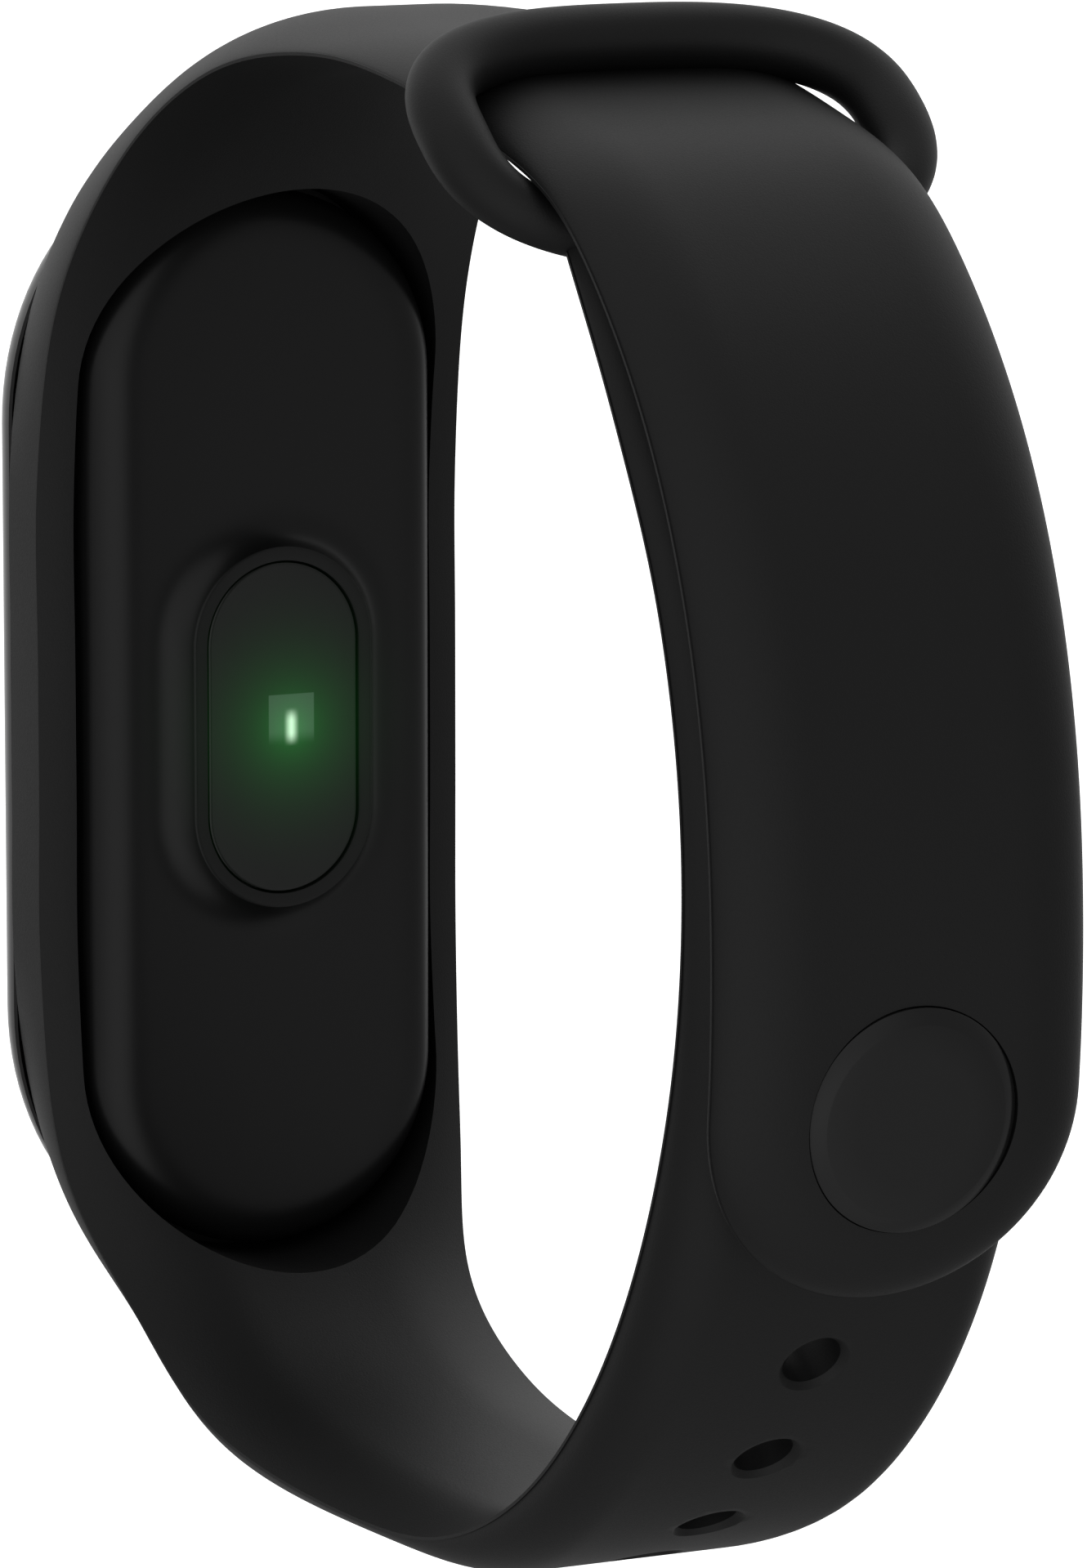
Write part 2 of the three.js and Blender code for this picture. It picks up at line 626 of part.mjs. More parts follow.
addInside('rear_case', rearCase(), casePlastic);
addInside('front_glass', frontGlass(), blackGlass);
addInside('glass_adhesive',
  pillRing(grown(CASE_WIDE, -0.15), grown(CASE_WIDE, -0.75), GLASS_BACK, CASE_FRONT),
  adhesive);
addInside('touch_film', pillSlab([36.8, 9.8], ...FILM), displayGlass);
addInside('display_panel', chip([10.2, 24], ...DISPLAY, 0, 0), displayGlass);
addInside('display_flex', ribbon(
  [[-30.55, -12.2], [-30.2, -13.3], [-29.0, -13.7], [-27.8, -13.7]], 0.2, 2, FLEX_Y), copperFlex);
addInside('inner_frame', innerFrame(), framePlastic);
addInside('antenna_strip', antennaStrip(), copperFlex);
addInside('battery_cell', chip([11.2, 22.6], ...BATTERY, 0, 2.6), batteryFoil);
addInside('battery_lead', ribbon([[-28.4, -8.85], [-28.2, -9.7], [-27.4, -9.9], [-26.8, -9.9]], 0.2, 0.9, -3),
  copperFlex);
addInside('main_board', pillSlab([39.4, 12.2], ...BOARD), boardGreen);
addInside('display_connector', chip([4.6, 2.2], BOARD[0] - 0.9, BOARD[0], FLEX_Y, -13.7), chipBlack);
addInside('processor_chip', chip([5, 5], BOARD[1], BOARD[1] + 0.75, 0, 12), chipBlack);
addInside('motion_sensor', chip([2.5, 3], BOARD[1], BOARD[1] + 0.7, 0, 17), chipBlack);
addInside('power_chip', chip([3.5, 3.5], BOARD[1], BOARD[1] + 0.6, 0, -12), chipBlack);
addInside('sensor_board', pillSlab([15.5, 8.4], ...SENSOR_BOARD), boardGreen);
addInside('green_led', chip([1.8, 2.6], SENSOR_BOARD[1], SENSOR_BOARD[1] + 0.5, LAMP_Y, 0), greenLamp);
[['photodiode_upper', 1], ['photodiode_lower', -1]].forEach(([name, side]) => {
  addInside(name, chip([2.3, 2.0], SENSOR_BOARD[1], SENSOR_BOARD[1] + 0.45, 0, side * DIODE_SPREAD),
    sensorSilicon);
});
addInside('light_barrier', lightBarrier(), chipBlack);
addInside('window_seal', pillRing(WINDOW, grown(WINDOW, -0.5), WINDOW_SEAT, WINDOW_SEAT + 0.1), adhesive);
addInside('sensor_window', pillSlab(WINDOW, WINDOW_SEAT + 0.1, WINDOW_FACE), smokedWindow);
[['charging_contact_left', -1], ['charging_contact_right', 1]].forEach(([name, side]) => {
  addInside(name, contactBar(side * CONTACT_Y, CONTACT_RADIUS, -21.5, -20.05), goldPlate);
});
addInside('motor_can', motorCan(), steel);
addInside('motor_shaft', motorShaft(), steel);
addInside('motor_weight', motorWeight(), tungsten);

export default group;
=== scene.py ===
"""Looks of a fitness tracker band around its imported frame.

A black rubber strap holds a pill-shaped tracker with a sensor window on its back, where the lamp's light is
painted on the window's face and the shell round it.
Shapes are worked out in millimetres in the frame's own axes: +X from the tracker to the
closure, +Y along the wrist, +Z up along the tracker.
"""

import math

import bmesh
import bpy
import numpy as np
from mathutils import Matrix, Vector


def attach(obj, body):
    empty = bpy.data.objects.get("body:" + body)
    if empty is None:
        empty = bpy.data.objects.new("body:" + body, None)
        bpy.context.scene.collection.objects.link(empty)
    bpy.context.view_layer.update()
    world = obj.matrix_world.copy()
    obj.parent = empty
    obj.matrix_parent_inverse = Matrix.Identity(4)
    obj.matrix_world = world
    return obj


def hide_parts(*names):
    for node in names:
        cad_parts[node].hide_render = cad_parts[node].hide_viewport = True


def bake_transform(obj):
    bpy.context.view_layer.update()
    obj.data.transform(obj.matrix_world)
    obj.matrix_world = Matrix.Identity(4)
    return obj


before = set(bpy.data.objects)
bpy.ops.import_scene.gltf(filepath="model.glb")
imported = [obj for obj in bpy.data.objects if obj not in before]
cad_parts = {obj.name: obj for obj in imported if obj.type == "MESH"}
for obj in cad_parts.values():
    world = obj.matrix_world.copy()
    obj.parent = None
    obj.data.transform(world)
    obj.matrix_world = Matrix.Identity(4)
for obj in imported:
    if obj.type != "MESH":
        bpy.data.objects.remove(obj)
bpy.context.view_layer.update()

MM = 0.001

# ---- The strap's spine -----------------------------------------------------------------------

# The spine is the strap's parting edge, from the neck of the keeper loop, down the inner
# arm, round the tracker, over the top and down the closing arm to the tongue's tip. Its
# round stretches are parts of ovals: centre (x, z), half sizes and power, where 2 is an
# ellipse and more is squarer. Turns are degrees from an oval's +X side.
INNER_ARM = ((0.0, 0.0), (25.4, 27.2), 2.0)
LOWER_CORNER = ((-5.0, -10.0), (20.3, 17.3), 2.5)
UPPER_CORNER = ((-3.5, 9.0), (21.8, 18.5), 2.1)
CLOSING_ARM = ((0.0, -2.2), (28.3, 30.4), 2.2)
NECK_TURN = 54
BOTTOM_TURN = -90
TRACKER_TURN = 180         # the side that faces the tracker
TOP_TURN = 90
CLOSING_TURN = 57
TIP_TURN = -22
INNER_ROWS = 10
CORNER_ROWS = 5
CLOSING_ROWS = 8
THIRDS = (1 / 3, 2 / 3)    # where the rows of the tracker's side and of the ramp sit
RAMP_HANDLES = ((5.0, 27.5), (11.2, 25.5))    # the dip under the keeper bar

# Cross-sections, each at a row of the spine: half width, depth inside the edge, width of the
# inner bevel, crown outside the edge, width of the crown's shoulder and squareness of the
# shoulder. The strap changes evenly from one to the next, and is then eased along its length.
SECTIONS = [
    (0.0, 6.2, 0.60, 2.4, 1.05, 2.6, 1.6),      # neck, between the loop and the tongue
    (0.4, 6.9, 0.60, 2.4, 1.05, 2.6, 1.6),
    (1.5, 6.9, 0.60, 2.4, 1.05, 2.6, 1.6),
    (3.5, 6.9, 0.60, 2.4, 2.00, 3.0, 1.8),      # inner arm, under the tongue
    (5.5, 7.1, 0.60, 2.4, 2.20, 2.0, 2.4),
    (7.0, 7.0, 0.60, 2.8, 1.90, 2.0, 2.2),
    (9.0, 6.9, 0.80, 3.8, 1.20, 4.0, 1.4),      # bottom of the loop
    (11.0, 7.3, 1.25, 4.2, 4.30, 7.0, 1.2),
    (12.0, 8.7, 1.20, 3.6, 6.60, 5.2, 1.4),     # lower end of the holder
    (12.6, 9.1, 0.75, 2.6, 6.20, 0.6, 2.0),
    (16.4, 9.1, 0.65, 2.6, 6.20, 0.6, 2.0),
    (17.1, 8.8, 0.58, 3.4, 6.60, 5.2, 1.4),     # upper end of the holder
    (18.5, 7.8, 0.62, 4.0, 3.00, 7.0, 1.2),
    (20.0, 7.3, 0.65, 3.4, 0.90, 5.0, 1.35),    # top
    (22.0, 7.3, 0.55, 2.5, 1.20, 3.2, 1.5),     # under the keeper bar
    (24.0, 7.3, 0.30, 2.0, 1.50, 3.2, 1.5),
    (26.0, 7.3, 0.60, 2.0, 1.50, 3.2, 1.5),     # tongue
    (30.0, 7.3, 0.50, 2.0, 1.30, 3.2, 1.5),
]
ARM_ROWS = (3, 9)          # the inner arm, where the holes are
SEAM_ROW = 21.0            # the closing arm is a piece of its own from under the keeper bar
STEP = 0.3                 # spacing of the strap's cross-sections
SMOOTHING = 1.1            # how far the spine's rows are eased into each other
LIP = 0.12                 # flat on the parting edge
LIP_STEP = 0.05            # the outside starts this far in from the parting edge
BEVEL_POWER = 1.7          # how round the inner bevel is
INNER_POINTS = 16          # points across half the inner face
OUTER_POINTS = 24          # points across half the outer face

HOLDER_FRONT = -28.2
HOLDER_CUT = (60, 30, 60)  # the cutter that makes the front flat reaches this far from the middle
SEAT_FROM = -40
SEAT_TO = -10
TIP_RADIUS = 7.3
TIP_Z = -6.78              # height of the centre of the tongue's round end
TIP_SECTIONS = 34
TIP_SWEEP = math.radians(88.2)

STUD_CENTRE = (29.55, -7.2)
STUD_TILT = math.radians(6.6)
STUD_RADIUS = 4.05
STUD_PROUD = 0.1
STUD_CHAMFER = 0.55
STUD_BACK = -0.62
RECESS_GAP = 0.05
RECESS_FLOOR = -0.8
BORE_RADIUS = 0.95         # the hole in the tongue for the stud's post
HOLE_PITCH = 5.15
HOLE_COUNT = 6
HOLE_RADIUS = 1.12
HOLE_MOUTH = 1.38
HOLE_MOUTH_DEPTH = 0.28
CUT_IN = -4                # cutters start and end well clear of the strap
CUT_OUT = 4

# ---- The tracker's levels along X and its outlines -------------------------------------------

# An outline is a pill: its length along Z, its width along Y and the length of its round end.

WINDOW_FACE = -22.06
ISLAND_FACE = -22.0
CASE_CROWN = -23.0
WINDOW_SEAT = -23.2
CASE_FLOOR = -24.1
CASE_STEP = -26.2
CASE_LEDGE = -27.2
CASE_FRONT = -28.3
GLASS_BACK = -28.5
GLASS_CROWN = -32.4
CASE_REAR = (42.2, 14.74, 7.37)
CASE_WIDE = (43.5, 16.1, 9.4)
GLASS = (44.6, 17.64, 10.6)
CAPSULE_Z = -0.6           # height of the tracker's middle in the strap
WALL = 0.9
GLASS_WALL = 1.95
SEAT_GAP = 0.35
WINDOW = (13.1, 6.4, 3.2)
WINDOW_GAP = 0.07
ISLAND_LIP = 0.58
ARC_POINTS = 48
SIDE_POINTS = 28


# ---- Mesh helpers ----------------------------------------------------------------------------

SHARP_ANGLE = math.radians(32)


def finish_mesh(name, vertices, faces):
    """A smooth-shaded object from points in millimetres, sharp only at its real edges."""
    mesh = bpy.data.meshes.new(name)
    mesh.from_pydata([tuple(MM * c for c in v) for v in vertices], [], faces)
    obj = bpy.data.objects.new(name, mesh)
    bpy.context.scene.collection.objects.link(obj)
    tidy_normals(obj)
    return obj


def tidy_normals(obj):
    shape = bmesh.new()
    shape.from_mesh(obj.data)
    bmesh.ops.remove_doubles(shape, verts=shape.verts, dist=1e-7)
    bmesh.ops.recalc_face_normals(shape, faces=shape.faces)
    for face in shape.faces:
        face.smooth = True
    for edge in shape.edges:
        edge.smooth = len(edge.link_faces) == 2 and edge.calc_face_angle(0.0) < SHARP_ANGLE
    shape.to_mesh(obj.data)
    shape.free()


def skin(rings, closed_along=False, cap=True):
    """Vertices and faces of a tube whose cross-sections are rings with equal counts."""
    count = len(rings[0])
    vertices = [point for ring in rings for point in ring]
    faces = []
    spans = len(rings) if closed_along else len(rings) - 1
    for i in range(spans):
        here = i * count
        there = ((i + 1) % len(rings)) * count
        for j in range(count):
            k = (j + 1) % count
            faces.append((here + j, here + k, there + k, there + j))
    if cap and not closed_along:
        faces.append(tuple(range(count)))
        faces.append(tuple(reversed(range((len(rings) - 1) * count, len(rings) * count))))
    return vertices, faces


def combine(obj, other, operation):
    """Joins `other` to `obj` or cuts it away, and removes `other`."""
    modifier = obj.modifiers.new("combine", "BOOLEAN")
    modifier.operation = operation
    modifier.solver = "EXACT"
    modifier.object = other
    depsgraph = bpy.context.evaluated_depsgraph_get()
    mesh = bpy.data.meshes.new_from_object(obj.evaluated_get(depsgraph))
    obj.modifiers.clear()
    old = obj.data
    obj.data = mesh
    bpy.data.meshes.remove(old)
    bpy.data.objects.remove(other)
    tidy_normals(obj)


# ---- Curves ----------------------------------------------------------------------------------


def catmull(rows, steps):
    """Dense samples of a centripetal Catmull-Rom curve through the rows (x, z first)."""
    rows = np.array(rows, float)
    padded = np.vstack([2 * rows[0] - rows[1], rows, 2 * rows[-1] - rows[-2]])
    out = []
    for i in range(len(rows) - 1):
        p0, p1, p2, p3 = padded[i:i + 4]
        d0, d1, d2 = (
            max(np.linalg.norm((b - a)[:2]), 1e-6) ** 0.5
            for a, b in ((p0, p1), (p1, p2), (p2, p3)))
        t1 = ((p1 - p0) / d0 - (p2 - p0) / (d0 + d1) + (p2 - p1) / d1) * d1
        t2 = ((p2 - p1) / d1 - (p3 - p1) / (d1 + d2) + (p3 - p2) / d2) * d1
        for k in range(steps):
            t = k / steps
            out.append(p1 + t1 * t + (-3 * p1 + 3 * p2 - 2 * t1 - t2) * t ** 2
                       + (2 * p1 - 2 * p2 + t1 + t2) * t ** 3)
    out.append(rows[-1])
    return np.array(out)


def shaped(turn, power):
    """Cosine and sine of a turn in degrees, squared up by an oval's power."""
    pair = (math.cos(math.radians(turn)), math.sin(math.radians(turn)))
    return [math.copysign(abs(share) ** (2 / power), share) for share in pair]


def oval_point(oval, turn):
    """The (x, z) of an oval's edge at a turn."""
    (x, z), (half_x, half_z), power = oval
    across, up = shaped(turn, power)
    return (x + half_x * across, z + half_z * up)


def oval_rows(oval, first_turn, last_turn, count):
    return [oval_point(oval, turn) for turn in np.linspace(first_turn, last_turn, count)]


def bezier_point(start, handle_a, handle_b, end, t):
    """The (x, z) of a curve at share t, from its ends and its two handles."""
    weights = ((1 - t) ** 3, 3 * t * (1 - t) ** 2, 3 * t * t * (1 - t), t ** 3)
    spots = (start, handle_a, handle_b, end)
    return tuple(sum(w * spot[axis] for w, spot in zip(weights, spots)) for axis in (0, 1))


def spine_places():
    """The (x, z) of each row of the spine."""
    inner = oval_rows(INNER_ARM, NECK_TURN, BOTTOM_TURN, INNER_ROWS)
    lower = oval_rows(LOWER_CORNER, BOTTOM_TURN, -TRACKER_TURN, CORNER_ROWS)[1:]
    upper = oval_rows(UPPER_CORNER, TRACKER_TURN, TOP_TURN, CORNER_ROWS)
    closing = oval_rows(CLOSING_ARM, CLOSING_TURN, TIP_TURN, CLOSING_ROWS)
    side = [tuple(np.add(lower[-1], np.subtract(upper[0], lower[-1]) * t)) for t in THIRDS]
    ramp = [bezier_point(upper[-1], *RAMP_HANDLES, closing[0], t) for t in THIRDS]
    return inner + lower + side + upper + ramp + closing


def section_sizes(row):
    """The sizes of the cross-section at a row, between the two nearest in the list."""
    rows, *sizes = zip(*SECTIONS)
    return [float(np.interp(row, rows, column)) for column in sizes]


class Spine:
    """The strap's parting edge as a function of the distance along it."""

    def __init__(self):
        samples_per_row = 60
        rows = [(*spot, *section_sizes(row), row) for row, spot in enumerate(spine_places())]
        samples = catmull(rows, samples_per_row)
        gaps = np.linalg.norm(np.diff(samples[:, :2], axis=0), axis=1)
        reach = np.concatenate([[0], np.cumsum(gaps)])
        self.length = reach[-1]
        self.step = 0.1
        self.at = np.arange(0, self.length, self.step)
        columns = np.array([np.interp(self.at, reach, c) for c in samples.T]).T
        self.columns = self.eased(columns)
        tangent = np.gradient(self.columns[:, :2], axis=0)
        self.tangent = tangent / np.linalg.norm(tangent, axis=1)[:, None]

    def eased(self, columns):
        half = int(3 * SMOOTHING / self.step)
        weights = np.exp(-0.5 * (np.arange(-half, half + 1) * self.step / SMOOTHING) ** 2)
        weights /= weights.sum()
        first = 2 * columns[0] - columns[half:0:-1]
        last = 2 * columns[-1] - columns[-2:-half - 2:-1]
        padded = np.vstack([first, columns, last])
        return np.array([np.convolve(c, weights, "valid") for c in padded.T]).T

    def reach_of(self, row):
        return float(np.interp(row, self.columns[:, -1], self.at))

    def station(self, reach):
        values = [np.interp(reach, self.at, c) for c in self.columns.T]
        along = np.array([np.interp(reach, self.at, c) for c in self.tangent.T])
        along /= np.linalg.norm(along)
        names = ("x", "z", "half", "inside", "bevel", "crown", "shoulder", "square", "row")
        place = dict(zip(names, values))
        place["out"] = (-along[1], along[0])
        place["along"] = (along[0], along[1])
        return place


spine = Spine()


def inner_depth(place, u):
    """Depth of the inner face at distance u from the parting edge."""
    t = min(max(u / place["bevel"], 0.0), 1.0)
    return place["inside"] * (1 - (1 - t) ** BEVEL_POWER)


def outer_height(place, u):
    """Height of the outside at distance u from the parting edge."""
    t = min(max(u / place["shoulder"], 0.0), 1.0)
    return place["crown"] * (1 - (1 - t) ** 2) ** (1 / place["square"])


def point_off(place, y, height):
    out = place["out"]
    return (place["x"] + out[0] * height, y, place["z"] + out[1] * height)


def spread(count):
    """Shares of a half width, close together near the edge."""
    return [1 - math.cos(0.5 * math.pi * k / count) for k in range(count + 1)]


def section(place, half, edge_distance):
    """One closed cross-section. edge_distance(y) is the distance from the outline."""
    ring = []
    inner = [half * (1 - s) for s in spread(INNER_POINTS)]
    across = [-y for y in inner] + [y for y in reversed(inner[:-1])]
    for y in across:
        ring.append(point_off(place, y, -LIP / 2 - inner_depth(place, edge_distance(y))))
    ring.append(point_off(place, half, LIP / 2))
    step_half = max(half - LIP_STEP, 0.2 * half)
    outer = [step_half * (1 - s) for s in spread(OUTER_POINTS)]
    back = outer + [-y for y in reversed(outer[:-1])]
    for y in back:
        u = max(edge_distance(y) - LIP_STEP, 0.0)
        ring.append(point_off(place, y, LIP / 2 + outer_height(place, u)))
    ring.append(point_off(place, -half, LIP / 2))
    return ring


def band_sections(start, stop):
    """Cross-sections of the plain band between two distances along the spine."""
    count = max(2, math.ceil((stop - start) / STEP))
    rings = []
    for k in range(count + 1):
        place = spine.station(start + (stop - start) * k / count)
        half = place["half"]
        rings.append(section(place, half, lambda y, h=half: h - abs(y)))
    return rings


# ---- The strap's pieces ----------------------------------------------------------------------


def pill(size, x):
    """A pill-shaped ring at level x, about the tracker's middle."""
    length, width, end = size
    radius = width / 2
    straight = length / 2 - end
    ring = []
    for side in (1, -1):
        for k in range(ARC_POINTS):
            angle = math.pi * k / ARC_POINTS
            ring.append((x, side * radius * math.cos(angle),
                         CAPSULE_Z + side * (straight + end * math.sin(angle))))
        for k in range(SIDE_POINTS):
            ring.append((x, -side * radius, CAPSULE_Z + side * straight * (1 - 2 * k / SIDE_POINTS)))
    return ring


def grown(size, by):
    return (size[0] + 2 * by, size[1] + 2 * by, size[2] + by)


def inside_by(size, y, z):
    """Distance from a point to a half-round-ended pill's outline, positive inside it."""
    length, width, end = size
    beyond = max(abs(z - CAPSULE_Z) - (length / 2 - end), 0.0)
    return width / 2 - math.hypot(y, beyond)


def turned(name, profile, centre, tilt, segments=64):
    """A round piece square to the strap: profile of (radius, height) about the axis."""
    axis = Vector((math.cos(tilt), 0, -math.sin(tilt)))
    side = Vector((math.sin(tilt), 0, math.cos(tilt)))
    middle = Vector((centre[0], 0, centre[1]))
    across = Vector((0, 1, 0))
    rings = []
    for radius, height in profile:
        ring = []
        for k in range(segments):
            angle = 2 * math.pi * k / segments
            spot = middle + axis * height + (side * math.cos(angle) + across * math.sin(angle)) * radius
            ring.append(tuple(spot))
        rings.append(ring)
    return finish_mesh(name, *skin(rings))


def block(name, low, high):
    xs, ys, zs = zip(low, high)
    ring = [(ys[0], zs[0]), (ys[1], zs[0]), (ys[1], zs[1]), (ys[0], zs[1])]
    rings = [[(x, y, z) for y, z in ring] for x in xs]
    return finish_mesh(name, *skin(rings))


def hole_reaches():
    """Distances along the spine of the adjustment holes, starting opposite the stud."""
    axis = np.array([math.cos(STUD_TILT), -math.sin(STUD_TILT)])

    def off_axis(reach):
        place = spine.station(reach)
        return abs(np.cross(np.array([place["x"], place["z"]]) - np.array(STUD_CENTRE), axis))

    start, stop = (spine.reach_of(row) for row in ARM_ROWS)
    first = min(np.arange(start, stop, 0.05), key=off_axis)
    return [first + k * HOLE_PITCH for k in range(HOLE_COUNT)]


def hole_cutter(reach):
    """Cuts one adjustment hole, with a dished mouth on the outside."""
    place = spine.station(reach)
    tilt = math.atan2(-place["out"][1], place["out"][0])
    top = place["crown"] + LIP / 2
    profile = [
        (HOLE_RADIUS, CUT_IN), (HOLE_RADIUS, top - HOLE_MOUTH_DEPTH),
        (HOLE_MOUTH - 0.04, top - 0.03), (HOLE_MOUTH + 0.1, top + 0.05), (HOLE_MOUTH + 0.1, top + 2)]
    return turned("cutter", profile, (place["x"], place["z"]), tilt, 48)


# The keeper loop is an oval ring in a tilted plane, bowed a little outward. Its neck side
# is joined to the end of the inner arm and partly sunk in it. Its bar side lies over the
# closing arm and presses a little into it.
LOOP_NECK = (15.0, 22.1)
LOOP_BAR = (7.1, 28.6)
LOOP_HALF = 8.8
LOOP_POWER = 2.7
LOOP_BOW = 0.5
LOOP_TUBE = 1.25
NECK_TUBE = 1.0
LOOP_END_TURN = 88         # the ring stops just short of closing at the neck


def loop_place(turn):
    """Centre and radius of the loop's tube at a turn, where 90 degrees is the bar."""
    across, along = shaped(turn, LOOP_POWER)
    neck, bar = np.array(LOOP_NECK), np.array(LOOP_BAR)
    outward = np.array((neck[1] - bar[1], bar[0] - neck[0])) / -np.linalg.norm(bar - neck)
    x, z = (neck + bar) / 2 + (bar - neck) / 2 * along + outward * LOOP_BOW * (1 - along ** 2)
    share = min(max(1 + along, 0.0), 1.0)
    radius = NECK_TUBE + (LOOP_TUBE - NECK_TUBE) * share * share * (3 - 2 * share)
    return np.array((x, LOOP_HALF * across, z)), radius


def keeper_loop():
    """The loop's tube, with rings that turn as little as they can along it."""
    turns = np.linspace(-LOOP_END_TURN, 180 + LOOP_END_TURN, 160)
    points, radii = zip(*(loop_place(turn) for turn in turns))
    tangents = np.gradient(np.array(points), axis=0)
    rings = []
    side = np.array([1.0, 0.0, 0.0])
    for point, tangent, radius in zip(points, tangents, radii):
        tangent = tangent / np.linalg.norm(tangent)
        side = side - tangent * (side @ tangent)
        side /= np.linalg.norm(side)
        other = np.cross(tangent, side)
        rings.append([
            tuple(point + radius * (side * math.cos(a) + other * math.sin(a)))
            for a in np.linspace(0, 2 * math.pi, 40, endpoint=False)])
    return finish_mesh("loop", *skin(rings))


def build_strap():
    """Holder, inner arm, keeper loop and the start of the closing arm, as one moulding."""
    strap = finish_mesh("strap_body", *skin(band_sections(0.0, spine.reach_of(SEAM_ROW))))
    front = block("front", [-far for far in HOLDER_CUT], (HOLDER_FRONT, *HOLDER_CUT[1:]))
    combine(strap, front, "DIFFERENCE")
    seat = grown(CASE_REAR, SEAT_GAP)
    pocket = grown(CASE_WIDE, SEAT_GAP)
    rings = [pill(pocket, SEAT_FROM), pill(pocket, CASE_STEP + SEAT_GAP),
             pill(seat, CASE_STEP + SEAT_GAP), pill(seat, SEAT_TO)]
    combine(strap, finish_mesh("seat", *skin(rings)), "DIFFERENCE")
    for reach in hole_reaches():
        combine(strap, hole_cutter(reach), "DIFFERENCE")
    combine(strap, keeper_loop(), "UNION")
    return strap


def build_closing_arm():
    """The closing arm, from under the keeper bar to the tongue's round tip."""
    start = spine.reach_of(SEAM_ROW)
    reaches = np.arange(start, spine.length, 0.02)
    heights = np.array([spine.station(r)["z"] for r in reaches])
    centre = float(reaches[np.argmax(heights <= TIP_Z)])
    rings = band_sections(start, centre)[:-1]
    for k in range(TIP_SECTIONS):
        angle = TIP_SWEEP * k / (TIP_SECTIONS - 1)
        ahead = TIP_RADIUS * math.sin(angle)
        half = TIP_RADIUS * math.cos(angle)
        place = spine.station(min(centre + ahead, spine.length - 0.1))
        rings.append(section(place, half, lambda y, a=ahead: TIP_RADIUS - math.hypot(a, y)))
    arm = finish_mesh("closing_arm", *skin(rings))
    recess = [(STUD_RADIUS + RECESS_GAP, RECESS_FLOOR), (STUD_RADIUS + RECESS_GAP, CUT_OUT)]
    combine(arm, turned("cutter", recess, STUD_CENTRE, STUD_TILT, 96), "DIFFERENCE")
    bore = [(BORE_RADIUS, CUT_IN - 1), (BORE_RADIUS, CUT_OUT)]
    combine(arm, turned("cutter", bore, STUD_CENTRE, STUD_TILT, 40), "DIFFERENCE")
    return arm


def build_stud():
    """The stud's flat disc, with a chamfered rim."""
    edge = STUD_PROUD - STUD_CHAMFER * 0.5
    rim = STUD_RADIUS - STUD_CHAMFER
    profile = [
        (STUD_RADIUS - 0.1, STUD_BACK), (STUD_RADIUS, STUD_BACK + 0.07), (STUD_RADIUS, edge - 0.02),
        (STUD_RADIUS - 0.02, edge), (rim + 0.02, STUD_PROUD - 0.012), (rim - 0.02, STUD_PROUD),
        (rim - 1.2, STUD_PROUD + 0.01), (0.6, STUD_PROUD + 0.015)]
    return turned("stud_disc", profile, STUD_CENTRE, STUD_TILT, 128)


# ---- The tracker's shell ---------------------------------------------------------------------


EDGE_IN = 2.3              # how far the shell's edge rounds in
EDGE_RISE = 1.4
CROWN_RISE = 0.12          # bulge of the shell across its width
FILLET = 1.75              # width of the hollow curve up to the island
LIP_DROP = 0.07
SWEEP_STEEPNESS = 0.965    # of the hollow curve where it meets the island, where 1 is upright
SWEEP_POWER = 1.3


def shell_level(y, z):
    """Level of the rear shell outside the island: a soft dome that sweeps up to the island."""
    island = grown(WINDOW, WINDOW_GAP + ISLAND_LIP)
    t = min(inside_by(CASE_REAR, y, z) / EDGE_IN, 1.0)
    dome = CASE_CROWN - EDGE_RISE * (1 - math.sqrt(max(1 - (1 - t) ** 3, 0.0)))
    dome += CROWN_RISE * (1 - (2 * y / CASE_REAR[1]) ** 2) - CROWN_RISE
    near = max(1 + inside_by(island, y, z) / FILLET, 0.0)
    full = 1 - math.sqrt(1 - SWEEP_STEEPNESS ** 2)
    steepness = SWEEP_STEEPNESS * min(near, 1.0) ** SWEEP_POWER
    lift = (1 - math.sqrt(1 - steepness ** 2)) / full
    return dome + (ISLAND_FACE - LIP_DROP - dome) * lift


def shell_rings():
    """Rings of the rear shell's domed face, from its side wall to the island's lip."""
    outer = pill(CASE_REAR, 0.0)
    inner = pill(grown(WINDOW, WINDOW_GAP + ISLAND_LIP), 0.0)
    count = 46
    rings = []
    for k in range(count + 1):
        share = 0.5 - 0.5 * math.cos(math.pi * k / count)
        ring = []
        for p, q in zip(outer, inner):
            y = p[1] + (q[1] - p[1]) * share
            z = p[2] + (q[2] - p[2]) * share
            ring.append((shell_level(y, z), y, z))
        rings.append(ring)
    return rings


